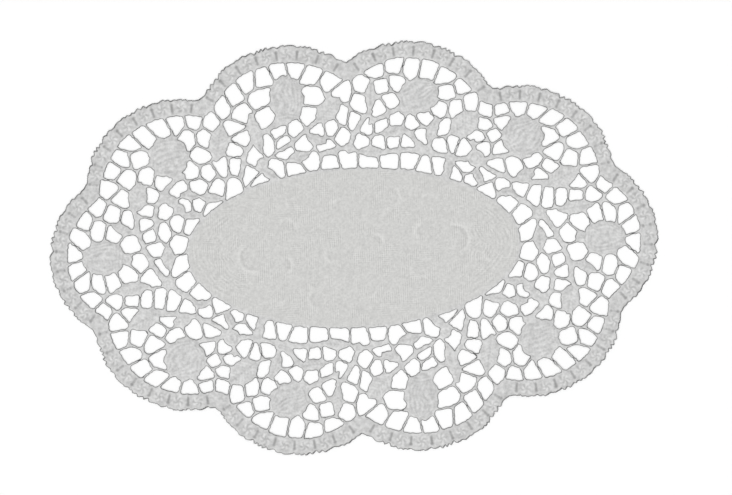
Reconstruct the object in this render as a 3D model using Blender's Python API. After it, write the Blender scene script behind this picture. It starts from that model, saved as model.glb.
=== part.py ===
"""Oval paper lace doily: one embossed, die-cut sheet that lies flat.

The plain oval in the middle is ringed by a net of small openings with roses, leaves and stems in it,
inside a scalloped border band. The lace repeats when the doily is turned by half a turn, so every
table below lists one half of it. Table sizes are in millimetres and degrees, x along the doily.
"""

import math
from collections import namedtuple

import bmesh
import bpy
import numpy as np
from mathutils import Vector
from mathutils.geometry import delaunay_2d_cdt

MM = 0.001
TURN = math.tau

# The sheet
LENGTH = 368.0
WIDTH = 250.0            # no less than the sheet's own width
THICKNESS = 1.0
OVAL_LONG = 100.8        # half axes of the plain oval
OVAL_WIDE = 48.3
BAND = 10.0              # solid border between the scalloped edge and the net
EDGE_POINTS = 18         # points along the edge of one scallop
DRAWN_IN_TO = 0.2        # share of a scallop, from a valley, in which its edge is drawn in
DRAWN_IN_SKEW = 0.75     # below 1, it is drawn in most at less than half of that

# The net
BORDER_HOLES = 43        # openings in the row inside the border, in one half
BORDER_ROW = 15.4        # depth of that row's middle below the scalloped edge
OVAL_HOLES = 21          # openings in the row around the oval, in one half
OVAL_ROW = 4.7           # distance of that row's middle from the oval
ROSE_HOLES = 10          # openings in the ring around a rose, where there is room for all of them
ROSE_ROW = 5.6           # distance of that ring's middle from the rose
CLOSEST = 7.6            # openings of these rows and rings have their middles no nearer than this
HOLES = 168              # openings in one half
CUT_HOLES = 150          # the largest of them, which are cut through
BAR = 1.7                # width of the bars between openings
ROUNDING = 0.85          # how softly an opening's corners turn
JOG = 0.9                # openings start up to this much off the band and the oval
JOG_SWING = (1.9, 2.7)   # radians for each millimetre, so that neighbours differ in this
MOTIF_MARGIN = 0.4       # paper left around roses, leaves and stems
SETTLING_ROUNDS = 4
REACH = 22.0             # no opening is longer than this from its middle
SIGHT = 28.6             # net distance over which an opening's middle looks for ground it can see
NEIGHBOURS = 14          # nearest openings that can bound one
CHOICES = 5              # nearest openings that a spot of free ground can belong to
SLANT = 0.9              # how much longer openings are along the net's own slant than across it
BEHIND = 1.5             # ground hidden from an opening's middle counts as this much farther
RAYS = 48                # points on an opening's outline before its flat corners go
STRIDE = 0.5
HALVINGS = 12
SMALLEST_CORNER = 1.5    # square millimetres: flatter corners of an opening are left out

# Heights above the flat sheet
ROSE_RISE = 0.7
PETAL_RISE = 0.45
LEAF_RISE = 0.4
BAND_RISE = 0.3

Scallop = namedtuple("Scallop", "x y radius first_in last_in")
SCALLOPS = (
    Scallop(133.0, -0.7, 51.0, 0.0, 0.0),
    Scallop(100.8, 34.3, 60.0, 1.0, 0.5),
    Scallop(35.4, 63.6, 60.2, 0.7, -0.3),
    Scallop(-36.6, 62.0, 62.2, 0.3, 1.3),
    Scallop(-102.5, 34.8, 60.2, 0.8, 1.7),
)

Rose = namedtuple("Rose", "x y half_long half_wide angle petals")
ROSES = (
    Rose(-151.3, 0.5, 12.8, 10.1, 0, 9),
    Rose(-109.7, 59.8, 11.9, 12.0, 0, 9),
    Rose(-36.8, 91.5, 9.9, 14.0, 0, 7),
    Rose(42.8, 90.2, 12.2, 10.4, 15, 9),
    Rose(105.0, 62.8, 12.2, 12.5, 0, 9),
)

Leaf = namedtuple("Leaf", "x y long wide angle")
LEAVES = (
    Leaf(-129.3, 36.2, 18, 10.5, 77),
    Leaf(-79, 67, 22, 11, 80),
    Leaf(-12, 84, 20, 11, 45),
    Leaf(70, 72, 20, 13.5, 35),
    Leaf(128, 37.5, 21, 11.5, 25),
    Leaf(-56.5, 72, 24, 7.2, -75),
    Leaf(14, 91, 18, 5.5, 85),
    Leaf(135, 19, 21, 7.6, 8),
    Leaf(112.5, 1, 14, 7, 90),
    Leaf(50.5, 69.5, 15, 6.2, 65),
    Leaf(13, 57.8, 15, 6, -5),
    Leaf(28, 69.5, 16, 6.2, 5),
    Leaf(-20, 66.5, 12, 5.5, -20),
    Leaf(-31, 56.5, 13, 6, 10),
    Leaf(-109, 33, 14, 5.5, -45),
    Leaf(-139, 17, 13, 5.5, -25),
    Leaf(-49, 47, 12, 5, -35),
    Leaf(59, 46, 13, 4.5, 90),
    Leaf(77, 40, 10, 4.5, -65),
    Leaf(106, 40, 10, 6, 0),
    Leaf(94, 30, 9, 4.5, 0),
    Leaf(-97, 24, 12, 4, 0),
    Leaf(-98, 36, 11, 4.5, -10),
    Leaf(-85, 34, 13, 4.6, -8),
)

Stem = namedtuple("Stem", "from_x from_y to_x to_y bow wide")
STEMS = (
    Stem(-131.5, 28, -97, -28.5, -9.0, 1.9),
    Stem(-101, 48, -119, 16, -6.5, 1.7),
    Stem(-40, 77, -66, 46.5, -7.5, 1.9),
    Stem(31, 83, 13, 75.5, 0.0, 1.7),
    Stem(13.5, 82, 0, 60, -2.0, 1.9),
    Stem(0, 60.5, -16, 58, -1.0, 1.7),
    Stem(-41, 61, -18, 78, 0.0, 1.2),
    Stem(47, 57.5, 34, 69, 0.0, 1.7),
    Stem(47, 57.5, 50, 66, 0.0, 1.7),
    Stem(47, 57, 20, 56.8, -1.4, 1.7),
    Stem(48, 57, 76, 50.5, -2.0, 1.7),
    Stem(76, 50.5, 75, 62, 0.0, 1.2),
    Stem(78, 50, 98, 53, 0.0, 1.2),
    Stem(78, 48.5, 118, 35.5, -4.6, 1.7),
)

Knot = namedtuple("Knot", "x y radius")
KNOTS = (
    Knot(76, 51, 4.8),
    Knot(-53, 53, 3.4),
    Knot(0, 60.5, 2.8),
    Knot(47, 57.5, 3.0),
    Knot(113, 16, 3.6),
    Knot(-104.5, 28, 3.0),
    Knot(34.5, 83.5, 4.0),
    Knot(-137.5, -1, 3.2),
)

Swing = namedtuple("Swing", "turn per_x per_y")    # radians, and radians for each millimetre
SWINGS = (
    Swing(2.6, 1 / 13, 0.0),
    Swing(2.2, 0.0, 1 / 12),
    Swing(1.6, 1 / 19, 1 / 19),
)


# Plain geometry, on arrays of points


def across(points):
    return np.hypot(points[..., 0], points[..., 1])


def heading(degrees):
    return np.array([math.cos(math.radians(degrees)), math.sin(math.radians(degrees))])


def own_axes(points, piece):
    """The points as seen from a rose or leaf: along it and across it."""
    along = heading(piece.angle)
    offset = points - np.array([piece.x, piece.y])
    return offset @ along, offset @ np.array([-along[1], along[0]])


def rays(count):
    angles = np.arange(count) * TURN / count
    return np.stack([np.cos(angles), np.sin(angles)], -1)


def last_clear(low, high, is_clear):
    """The largest values between low and high that are clear, by halving the gap."""
    for _ in range(HALVINGS):
        middle = (low + high) / 2.0
        clear = is_clear(middle)
        low, high = np.where(clear, middle, low), np.where(clear, high, middle)
    return low


def outline_area(outline):
    x, y = outline.T
    return 0.5 * float(np.sum(x * np.roll(y, -1) - y * np.roll(x, -1)))


def outline_middle(outline):
    x, y = outline.T
    weight = x * np.roll(y, -1) - y * np.roll(x, -1)
    sums = [np.sum((side + np.roll(side, -1)) * weight) for side in (x, y)]
    return np.array(sums) / (3.0 * np.sum(weight))


# The scalloped edge


def valley(one, other):
    """Where two neighbouring scallops meet, on the outer side."""
    a, b = np.array([one.x, one.y]), np.array([other.x, other.y])
    gap = across(b - a)
    along = (b - a) / gap
    reach = (one.radius**2 - other.radius**2 + gap**2) / (2.0 * gap)
    rise = math.sqrt(one.radius**2 - reach**2)
    return a + along * reach + np.array([along[1], -along[0]]) * rise


def scallop_arcs():
    """(centre, radius, first and last point) of all ten scallops, anticlockwise from the right."""
    meets = [valley(s, RING[(k + 1) % len(RING)]) for k, s in enumerate(RING)]
    return [(np.array([s.x, s.y]), s.radius, meets[k - 1], meets[k]) for k, s in enumerate(RING)]


RING = list(SCALLOPS) + [s._replace(x=-s.x, y=-s.y) for s in SCALLOPS]
ARCS = scallop_arcs()


def drawn_in(scallop, share):
    """How far a scallop's edge lies inside its arc, at a share of the way from valley to valley."""
    ends = ((scallop.first_in, share), (scallop.last_in, 1.0 - share))
    return sum(most * math.sin(math.pi * min(s / DRAWN_IN_TO, 1.0) ** DRAWN_IN_SKEW) for most, s in ends)


def edge_outline():
    """The doily's outline, with a point on every valley."""
    points = []
    for scallop, (centre, radius, first, last) in zip(RING, ARCS):
        start = math.atan2(*(first - centre)[::-1])
        sweep = (math.atan2(*(last - centre)[::-1]) - start) % TURN
        for step in range(EDGE_POINTS):
            angle = start + sweep * step / EDGE_POINTS
            reach = radius - drawn_in(scallop, step / EDGE_POINTS)
            points.append(centre + reach * np.array([math.cos(angle), math.sin(angle)]))
    return np.array(points)


def inside_edge(points):
    """Whether points lie on the doily: the edge is a single distance in every direction."""
    reach = across(points) + 1e-9
    way = points / reach[..., None]
    rim = np.zeros(points.shape[:-1])
    for centre, radius, _, _ in ARCS:
        along = way @ centre
        beside = way[..., 0] * centre[1] - way[..., 1] * centre[0]
        chord = np.sqrt(np.maximum(radius**2 - beside**2, 0.0))
        rim = np.maximum(rim, np.where(np.abs(beside) < radius, along + chord, 0.0))
    return reach < rim


def edge_depth(points):
    """How far inside the scalloped edge points lie, and -1 off the doily."""
    depth = np.full(points.shape[:-1], np.inf)
    for centre, radius, first, last in ARCS:
        offset = points - centre
        reach = across(offset)
        middle = (first + last) / 2 - centre
        middle = middle / across(middle)
        half = (first - centre) @ middle / radius
        faces_arc = offset @ middle >= reach * half
        depth = np.minimum(depth, np.where(faces_arc, np.abs(radius - reach), np.inf))
        depth = np.minimum(depth, across(points - first))
    return np.where(inside_edge(points), depth, -1.0)


def oval_gap(points):
    """Distance outside the plain oval, to first order."""
    level = (points[..., 0] / OVAL_LONG) ** 2 + (points[..., 1] / OVAL_WIDE) ** 2
    slope = 2.0 * np.hypot(points[..., 0] / OVAL_LONG**2, points[..., 1] / OVAL_WIDE**2) + 1e-9
    return 2.0 * (level - 1.0) / (slope * (1.0 + np.sqrt(np.maximum(level, 0.05))))


# Roses, leaves and stems


def rose_gap(points, rose):
    along, beside = own_axes(points, rose)
    angle = np.arctan2(beside, along)
    rim = 1.0 / np.hypot(np.cos(angle) / rose.half_long, np.sin(angle) / rose.half_wide)
    petals = 0.94 + 0.09 * np.abs(np.cos(rose.petals * angle / 2.0))
    return np.hypot(along, beside) - rim * petals


def leaf_gap(points, leaf):
    """A leaf is the overlap of two equal circles."""
    along, beside = (np.abs(side) for side in own_axes(points, leaf))
    tip = leaf.long / 2.0
    radius = (tip**2 + leaf.wide**2 / 4.0) / leaf.wide
    shift = radius - leaf.wide / 2.0
    past_tip = (along - tip) * shift > beside * tip
    return np.where(past_tip, np.hypot(along - tip, beside), np.hypot(along, beside + shift) - radius)


def stem_line(stem, parts=6):
    """Points along a stem, which bows to one side of its chord."""
    start, end = np.array([stem.from_x, stem.from_y]), np.array([stem.to_x, stem.to_y])
    chord = end - start
    side = np.array([-chord[1], chord[0]]) / across(chord)
    share = np.linspace(0.0, 1.0, parts + 1)[:, None]
    return start + chord * share + side * stem.bow * 4.0 * share * (1.0 - share)


def run_gap(points, run):
    start, end, wide = run
    chord = end - start
    share = np.clip((points - start) @ chord / (chord @ chord), 0.0, 1.0)
    return across(points - start - share[..., None] * chord) - wide / 2.0


def knot_gap(points, knot):
    return across(points - np.array([knot.x, knot.y])) - knot.radius


def half_motifs():
    """(gap function, piece, middle, reach) of every motif in one half."""
    motifs = [(rose_gap, r, (r.x, r.y), max(r.half_long, r.half_wide) * 1.05) for r in ROSES]
    motifs += [(leaf_gap, f, (f.x, f.y), f.long / 2.0) for f in LEAVES]
    motifs += [(knot_gap, k, (k.x, k.y), k.radius) for k in KNOTS]
    for stem in STEMS:
        line = stem_line(stem)
        for start, end in zip(line, line[1:]):
            run = (start, end, stem.wide)
            motifs.append((run_gap, run, (start + end) / 2.0, across(end - start)))
    return motifs


MOTIFS = [(*motif, way) for motif in half_motifs() for way in (1.0, -1.0)]


def near_motifs(middle, reach):
    return [m for m in MOTIFS if across(np.array(m[2]) * m[4] - middle) < reach + m[3]]


def motif_gap(points, motifs):
    gap = np.full(points.shape[:-1], np.inf)
    for measure, piece, _, _, way in motifs:
        gap = np.minimum(gap, measure(points * way, piece))
    return gap


# The openings of the net


def across_slant(place):
    """The direction across the net's slant, which turns from place to place."""
    turn = sum(s.turn * np.cos(place @ np.array([s.per_x, s.per_y])) for s in SWINGS)
    return np.stack([np.cos(turn), np.sin(turn)], -1)


def net_distance(offset, place):
    """The length of an offset, which counts for more across the net's slant."""
    aside = (offset * across_slant(place)).sum(-1)
    return np.sqrt((offset**2).sum(-1) + SLANT * aside**2)


class Ground:
    """A grid of points over the doily that knows where openings may lie."""

    def __init__(self, step=1.0):
        self.corner, self.step = np.array([-LENGTH, -WIDTH]) / 2.0, step
        columns = np.arange(-LENGTH + step, LENGTH, 2.0 * step) / 2.0
        rows = np.arange(-WIDTH + step, WIDTH, 2.0 * step) / 2.0
        grid = np.stack(np.meshgrid(columns, rows, indexing="ij"), -1)
        self.free = edge_depth(grid) > BAND - BAR / 2.0
        self.free &= oval_gap(grid) > 0.0
        self.free &= motif_gap(grid, MOTIFS) > MOTIF_MARGIN
        self.points = grid[self.free]

    def is_free(self, points):
        cell = ((points - self.corner) / self.step).astype(int)
        cell = np.clip(cell, 0, np.array(self.free.shape) - 1)
        return self.free[cell[..., 0], cell[..., 1]]

    def sees(self, starts, ends):
        """Whether nothing solid lies between each start and its end."""
        clear = np.ones(len(starts), bool)
        for share in np.linspace(0.1, 0.9, 9):
            clear &= self.is_free(starts + (ends - starts) * share)
        return clear

    def nearest_free(self, point):
        if self.is_free(point):
            return point
        return self.points[np.argmin(across(self.points - point))]


def ring(level, count):
    """One half of 2 * count points, evenly spaced along the closed line where level is zero."""
    way = rays(1440)
    nowhere, everywhere = np.zeros(len(way)), np.full(len(way), LENGTH / 2.0)
    reach = last_clear(nowhere, everywhere, lambda r: level(way * r[:, None]) > 0.0)
    line = way * reach[:, None]
    line = np.vstack([line, line[:1]])
    run = np.concatenate([[0.0], np.cumsum(across(np.diff(line, axis=0)))])
    wanted = (np.arange(count) + 0.5) * run[-1] / (2 * count)
    return np.stack([np.interp(wanted, run, side) for side in line.T], -1)


def rose_rings(ground, middles):
    """Add the middles of the openings around the roses, where no other opening is too near."""
    for rose in ROSES:
        reach = np.array([rose.half_long, rose.half_wide]) + ROSE_ROW
        for way in rays(ROSE_HOLES):
            middle = np.array([rose.x, rose.y]) + way * reach
            both = np.vstack([middles, -middles])
            if ground.is_free(middle) and across(both - middle).min() > CLOSEST:
                middles = np.vstack([middles, middle])
    return middles


def scatter(ground, middles):
    """Add middles, each as far as it can be from the others, until the half is full."""

    def spread(away, middle):
        apart = net_distance(ground.points - middle, ground.points)
        close = np.flatnonzero(apart < SIGHT)
        hidden = ~ground.sees(np.repeat(middle[None], len(close), 0), ground.points[close])
        apart[close[hidden]] *= BEHIND
        return np.minimum(away, apart)

    away = np.full(len(ground.points), np.inf)
    for middle in np.vstack([middles, -middles]):
        away = spread(away, middle)
    while len(middles) < HOLES:
        middle = ground.points[np.argmax(away)]
        middles = np.vstack([middles, middle])
        away = spread(spread(away, middle), -middle)
    return middles


def settle(ground, middles):
    """Move each middle to the centre of the free ground that is nearest to it and in its sight."""
    both = np.vstack([middles, -middles])
    apart = net_distance(ground.points[:, None] - both, ground.points[:, None])
    order = np.argsort(apart, axis=1)[:, :CHOICES]
    owner = np.full(len(ground.points), -1)
    for choice in order.T:
        open_still = np.flatnonzero(owner < 0)
        seen = ground.sees(both[choice[open_still]], ground.points[open_still])
        owner[open_still[seen]] = choice[open_still[seen]]
    owned = owner >= 0
    count = np.bincount(owner[owned], minlength=len(both))
    sums = [np.bincount(owner[owned], ground.points[owned, k], len(both)) for k in (0, 1)]
    centres = np.where(count[:, None] > 0, np.stack(sums, -1) / np.maximum(count, 1)[:, None], both)
    moved = (centres[:HOLES] - centres[HOLES:]) / 2.0
    return np.array([ground.nearest_free(middle) for middle in moved])


def hole_middles():
    ground = Ground()
    border_row = ring(lambda points: edge_depth(points) - BORDER_ROW, BORDER_HOLES)
    oval_row = ring(lambda points: OVAL_ROW - oval_gap(points), OVAL_HOLES)
    middles = np.array([ground.nearest_free(middle) for middle in np.vstack([border_row, oval_row])])
    middles = scatter(ground, rose_rings(ground, middles))
    for _ in range(SETTLING_ROUNDS):
        middles = settle(ground, middles)
    return middles


def room(points, middle, neighbours, motifs):
    """Distance to the rim of the opening around middle, positive inside, with rounded corners."""
    jog = JOG * (0.5 + 0.5 * math.cos(middle @ np.array(JOG_SWING)))
    limits = [edge_depth(points) - BAND - jog, oval_gap(points) - jog]
    limits.append(motif_gap(points, motifs) - MOTIF_MARGIN)
    for neighbour in neighbours:
        halfway = (neighbour + middle) / 2.0
        slant = across_slant(halfway)
        way = neighbour - middle + SLANT * ((neighbour - middle) @ slant) * slant
        limits.append(-(points - halfway) @ way / across(way) - BAR / 2.0)
    limits = np.clip(np.stack(limits), -30.0, 30.0)
    return -ROUNDING * np.log(np.exp(-limits / ROUNDING).sum(0))


def hole_outline(middle, others):
    """The outline of one opening, found along rays from its middle."""
    order = np.argsort(across(others - middle))
    neighbours = others[order[1 : NEIGHBOURS + 1]]
    motifs = near_motifs(middle, REACH)
    way = rays(RAYS)
    reach = np.arange(1, int(REACH / STRIDE)) * STRIDE

    def is_clear(points):
        return room(points, middle, neighbours, motifs) > 0.0

    start = middle
    for _ in range(2):
        along = start + way[:, None] * reach[None, :, None]
        first_blocked = reach[np.argmin(is_clear(along), axis=1)]
        rim = last_clear(first_blocked - STRIDE, first_blocked, lambda r: is_clear(start + way * r[:, None]))
        outline = start + way * rim[:, None]
        start = outline_middle(outline)
        if room(start[None], middle, neighbours, motifs)[0] < ROUNDING:
            break
    return outline


def main_corners(outline):
    """The outline without its flatter corners, least first."""
    points = list(outline)
    while len(points) > 4:
        sizes = []
        for k, point in enumerate(points):
            before, after = points[k - 1] - point, points[(k + 1) % len(points)] - point
            sizes.append(abs(before[0] * after[1] - before[1] * after[0]) / 2.0)
        least = int(np.argmin(sizes))
        if sizes[least] > SMALLEST_CORNER:
            break
        points.pop(least)
    return np.array(points)


def cut_openings():
    """The outlines of the largest openings, both halves."""
    middles = hole_middles()
    both = np.vstack([middles, -middles])
    outlines = [hole_outline(middle, both) for middle in middles]
    outlines.sort(key=outline_area, reverse=True)
    corners = [main_corners(outline) for outline in outlines[:CUT_HOLES]]
    return corners + [-outline for outline in corners]


# Raised places on the upper face, as (x, y, height)


def rose_points(rose):
    """A raised heart, a dip around it and a ring of petals."""
    along = heading(rose.angle)
    beside = np.array([-along[1], along[0]])
    points = [(rose.x, rose.y, ROSE_RISE)]
    for share, count, height in ((0.42, 6, PETAL_RISE), (0.82, 9, ROSE_RISE)):
        for step in range(count):
            angle = TURN * step / count
            point = along * math.cos(angle) * rose.half_long + beside * math.sin(angle) * rose.half_wide
            points.append((rose.x + share * point[0], rose.y + share * point[1], height))
    return points


def leaf_points(leaf):
    """The raised midrib of a leaf."""
    along = heading(leaf.angle) * leaf.long
    places = (-0.3, 0.0, 0.3) if leaf.wide > 5.0 else (0.0,)
    return [(leaf.x + s * along[0], leaf.y + s * along[1], LEAF_RISE) for s in places]


def band_points():
    """A low bead along the middle of the border band."""
    points = []
    for centre, radius, first, last in ARCS:
        start = math.atan2(*(first - centre)[::-1])
        sweep = (math.atan2(*(last - centre)[::-1]) - start) % TURN
        for step in range(1, 9):
            angle = start + sweep * step / 9
            way = np.array([math.cos(angle), math.sin(angle)])
            points.append((*(centre + way * (radius - BAND / 2.0)), BAND_RISE))
    return points


def relief():
    half = [point for rose in ROSES for point in rose_points(rose)]
    half += [point for leaf in LEAVES for point in leaf_points(leaf)]
    return half + [(-x, -y, height) for x, y, height in half] + band_points()


# The sheet as one solid


def face_layer(loops, extra=()):
    """Triangles that fill the first loop and leave the other loops open, by point number."""
    flat = [Vector(point) for loop in loops for point in loop] + [Vector(point[:2]) for point in extra]
    starts = np.cumsum([0] + [len(loop) for loop in loops])
    rims = [list(range(start, start + len(loop))) for start, loop in zip(starts, loops)]
    filled = delaunay_2d_cdt(flat, [], rims, 1, 1e-7)
    faces, from_points, from_rims = filled[2], filled[3], filled[5]
    return [
        [from_points[corner][0] for corner in face]
        for face, rim_numbers in zip(faces, from_rims)
        if list(rim_numbers) == [0]
    ]


def sheet_mesh():
    loops = [edge_outline()] + cut_openings()
    raised = relief()
    rim_points = [point for loop in loops for point in loop]
    mesh = bmesh.new()
    lower = [mesh.verts.new((x * MM, y * MM, 0.0)) for x, y in rim_points]
    upper = [mesh.verts.new((x * MM, y * MM, THICKNESS * MM)) for x, y in rim_points]
    upper += [mesh.verts.new((x * MM, y * MM, (THICKNESS + height) * MM)) for x, y, height in raised]
    for a, b, c in face_layer(loops, raised):
        mesh.faces.new((upper[a], upper[b], upper[c]))
    for a, b, c in face_layer(loops):
        mesh.faces.new((lower[a], lower[c], lower[b]))
    first = 0
    for loop in loops:
        for step in range(len(loop)):
            a, b = first + step, first + (step + 1) % len(loop)
            mesh.faces.new((lower[a], lower[b], upper[b], upper[a]))
        first += len(loop)
    bmesh.ops.recalc_face_normals(mesh, faces=mesh.faces)
    data = bpy.data.meshes.new("doily")
    mesh.to_mesh(data)
    mesh.free()
    return data


def paper():
    material = bpy.data.materials.new("white paper")
    material.use_nodes = True
    shader = material.node_tree.nodes["Principled BSDF"]
    shader.inputs["Base Color"].default_value = (0.62, 0.62, 0.61, 1.0)
    shader.inputs["Roughness"].default_value = 0.85
    shader.inputs["Metallic"].default_value = 0.0
    return material


def main():
    for old in list(bpy.data.objects):
        bpy.data.objects.remove(old)
    doily = bpy.data.objects.new("doily", sheet_mesh())
    doily.data.materials.append(paper())
    bpy.context.scene.collection.objects.link(doily)


main()
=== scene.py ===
"""Looks of the oval paper lace doily: embossed white paper, die-cut into a net of roses and leaves.

The sheet is built once, at fine resolution, in millimetres, and scaled to the frame's own length.
The lace repeats when the doily is turned by half a turn, so every table lists one half of it.
"""

import math
from collections import namedtuple

import bmesh
import bpy
import numpy as np
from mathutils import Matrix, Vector
from mathutils.geometry import delaunay_2d_cdt
from mathutils.kdtree import KDTree


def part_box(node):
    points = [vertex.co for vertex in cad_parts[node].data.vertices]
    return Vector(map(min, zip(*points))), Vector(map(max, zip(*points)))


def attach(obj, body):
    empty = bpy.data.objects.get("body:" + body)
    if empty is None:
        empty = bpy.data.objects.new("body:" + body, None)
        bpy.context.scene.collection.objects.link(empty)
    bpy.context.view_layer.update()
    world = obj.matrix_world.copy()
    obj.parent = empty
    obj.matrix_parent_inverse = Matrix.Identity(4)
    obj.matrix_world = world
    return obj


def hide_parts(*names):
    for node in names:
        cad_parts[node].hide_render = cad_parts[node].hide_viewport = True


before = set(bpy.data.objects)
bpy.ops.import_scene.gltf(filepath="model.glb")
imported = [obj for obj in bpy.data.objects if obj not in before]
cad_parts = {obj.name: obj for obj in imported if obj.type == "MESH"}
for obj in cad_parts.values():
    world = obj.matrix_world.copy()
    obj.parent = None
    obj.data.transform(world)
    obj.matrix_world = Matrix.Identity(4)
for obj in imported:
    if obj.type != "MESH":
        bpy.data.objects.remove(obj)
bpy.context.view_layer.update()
TURN = math.tau

# The sheet, in millimetres
LENGTH = 368.0
WIDTH = 250.0  # no less than the sheet's
OVAL_LONG = 100.8  # half axes of the plain oval
OVAL_WIDE = 48.3
BAND = 10.0  # solid border between the scalloped edge and the net
EDGE_POINTS = 280  # points along one scallop's edge
DRAWN_IN_TO = 0.2  # share of a scallop, from a valley, with its edge drawn in
DRAWN_IN_SKEW = 0.75  # below 1, it is drawn in most at less than half of that
UNIT = (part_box("doily")[1][0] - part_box("doily")[0][0]) / LENGTH  # metres for a millimetre here

# The net
BORDER_HOLES = 43  # openings in the row inside the border, in one half
BORDER_ROW = 15.4  # depth of that row's middle below the scalloped edge
OVAL_HOLES = 21  # openings in the row around the oval, in one half
OVAL_ROW = 4.7  # distance of that row's middle from the oval
ROSE_HOLES = 10  # openings in the ring around a rose, where there is room
ROSE_ROW = 5.6  # distance of that ring's middle from the rose
CLOSEST = 7.6  # and none of their middles is nearer to another than this
HOLES = 168  # openings in one half
BAR = 1.3  # width of the bars between openings
ROUNDING = 0.62  # how softly an opening's corners turn
JOG = 0.9  # openings start up to this far off the band and the oval
JOG_SWING = (1.9, 2.7)  # radians for each millimetre, so that neighbours differ
MOTIF_MARGIN = 0.4  # paper left around roses, leaves and stems
SETTLING_ROUNDS = 4
REACH = 22.0  # no opening is longer than this from its middle
SIGHT = 28.6  # net distance from a middle within which hidden ground counts
NEIGHBOURS = 14  # nearest openings that can bound one
CHOICES = 5  # nearest openings that a spot of free ground can belong to
SLANT = 0.9  # the larger, the longer openings are along the net's slant
BEHIND = 1.5  # as this many times as far
RAYS = 48  # points found on an opening's outline
STRIDE = 0.5  # steps along a ray until it is blocked
HALVINGS = 12  # and halvings of the last step
RAGGED = 0.18  # how far the openings' rims wander
FLAT_CORNER = 0.035  # square millimetres: flatter corners of an opening are left out

# Heights of the upper face, in millimetres
PAPER = 0.30  # thickness of the paper
LIE = 0.45  # flat parts of the sheet above the table
WAVE = 0.22  # height of the sheet's long waves
EDGE_DROP = 0.16  # cut edges are pressed down this much
EDGE_WIDE = 0.65  # over this width
FLATTER_AT_EDGE = 0.8  # and the relief there is lower by this share
LOWEST = 0.12  # no part of the upper face is lower
RELIEF_BELOW = 0.6  # share of the relief that shows on the lower face
# The painted shade line along the outer edge is wider where the edge faces DARK_SIDE or the opposite way:
# one side painted darker, as the light falls
OUTER_DARKER = 0.50  # distances to the outer edge are shaded as this much shorter
DARK_SIDE = 135  # where it faces this way or the opposite one
ROSE_RISE = 0.40
LEAF_RISE = 0.30
STEM_RISE = 0.20
BAND_RISE = 0.12

Scallop = namedtuple("Scallop", "x y radius first_in last_in")
SCALLOPS = (
    Scallop(133.0, -0.7, 51.0, 0.0, 0.0),
    Scallop(100.8, 34.3, 60.0, 1.0, 0.5),
    Scallop(35.4, 63.6, 60.2, 0.7, -0.3),
    Scallop(-36.6, 62.0, 62.2, 0.3, 1.3),
    Scallop(-102.5, 34.8, 60.2, 0.8, 1.7),
)

Rose = namedtuple("Rose", "x y half_long half_wide angle petals folds")
ROSES = (
    Rose(-151.3, 0.5, 12.8, 10.1, 0, 9, 180),
    Rose(-109.7, 59.8, 11.9, 12.0, 0, 9, 10),
    Rose(-36.8, 91.5, 9.9, 14.0, 0, 7, 90),
    Rose(42.8, 90.2, 12.2, 10.4, 15, 9, 25),
    Rose(105.0, 62.8, 12.2, 12.5, 0, 9, 40),
)

Leaf = namedtuple("Leaf", "x y long wide angle")
LEAVES = (
    Leaf(-129.3, 36.2, 18, 10.5, 77),
    Leaf(-79, 67, 22, 11, 80),
    Leaf(-12, 84, 20, 11, 45),
    Leaf(70, 72, 20, 13.5, 35),
    Leaf(128, 37.5, 21, 11.5, 25),
    Leaf(-56.5, 72, 24, 7.2, -75),
    Leaf(14, 91, 18, 5.5, 85),
    Leaf(135, 19, 21, 7.6, 8),
    Leaf(112.5, 1, 14, 7, 90),
    Leaf(50.5, 69.5, 15, 6.2, 65),
    Leaf(13, 57.8, 15, 6, -5),
    Leaf(28, 69.5, 16, 6.2, 5),
    Leaf(-20, 66.5, 12, 5.5, -20),
    Leaf(-31, 56.5, 13, 6, 10),
    Leaf(-109, 33, 14, 5.5, -45),
    Leaf(-139, 17, 13, 5.5, -25),
    Leaf(-49, 47, 12, 5, -35),
    Leaf(59, 46, 13, 4.5, 90),
    Leaf(77, 40, 10, 4.5, -65),
    Leaf(106, 40, 10, 6, 0),
    Leaf(94, 30, 9, 4.5, 0),
    Leaf(-97, 24, 12, 4, 0),
    Leaf(-98, 36, 11, 4.5, -10),
    Leaf(-85, 34, 13, 4.6, -8),
)

Stem = namedtuple("Stem", "from_x from_y to_x to_y bow wide")
STEMS = (
    Stem(-131.5, 28, -97, -28.5, -9.0, 1.9),
    Stem(-101, 48, -119, 16, -6.5, 1.7),
    Stem(-40, 77, -66, 46.5, -7.5, 1.9),
    Stem(31, 83, 13, 75.5, 0.0, 1.7),
    Stem(13.5, 82, 0, 60, -2.0, 1.9),
    Stem(0, 60.5, -16, 58, -1.0, 1.7),
    Stem(-41, 61, -18, 78, 0.0, 1.2),
    Stem(47, 57.5, 34, 69, 0.0, 1.7),
    Stem(47, 57.5, 50, 66, 0.0, 1.7),
    Stem(47, 57, 20, 56.8, -1.4, 1.7),
    Stem(48, 57, 76, 50.5, -2.0, 1.7),
    Stem(76, 50.5, 75, 62, 0.0, 1.2),
    Stem(78, 50, 98, 53, 0.0, 1.2),
    Stem(78, 48.5, 118, 35.5, -4.6, 1.7),
)

Knot = namedtuple("Knot", "x y radius")
KNOTS = (
    Knot(76, 51, 4.8),
    Knot(-53, 53, 3.4),
    Knot(0, 60.5, 2.8),
    Knot(47, 57.5, 3.0),
    Knot(113, 16, 3.6),
    Knot(-104.5, 28, 3.0),
    Knot(34.5, 83.5, 4.0),
    Knot(-137.5, -1, 3.2),
)

Swing = namedtuple("Swing", "turn per_x per_y")  # radians, and radians for each millimetre
SWINGS = (
    Swing(2.6, 1 / 13, 0.0),
    Swing(2.2, 0.0, 1 / 12),
    Swing(1.6, 1 / 19, 1 / 19),
)


# Plain geometry, on arrays of points

DICE = np.random.default_rng(5)
GRAIN_WAVES = 7
GRAIN_PITCH = (2.4, 5.2)
GRAIN = [
    (DICE.uniform(0, 180), DICE.uniform(*GRAIN_PITCH), DICE.uniform(0, TURN))
    for _ in range(GRAIN_WAVES)
]


def across(points):
    return np.hypot(points[..., 0], points[..., 1])


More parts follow.
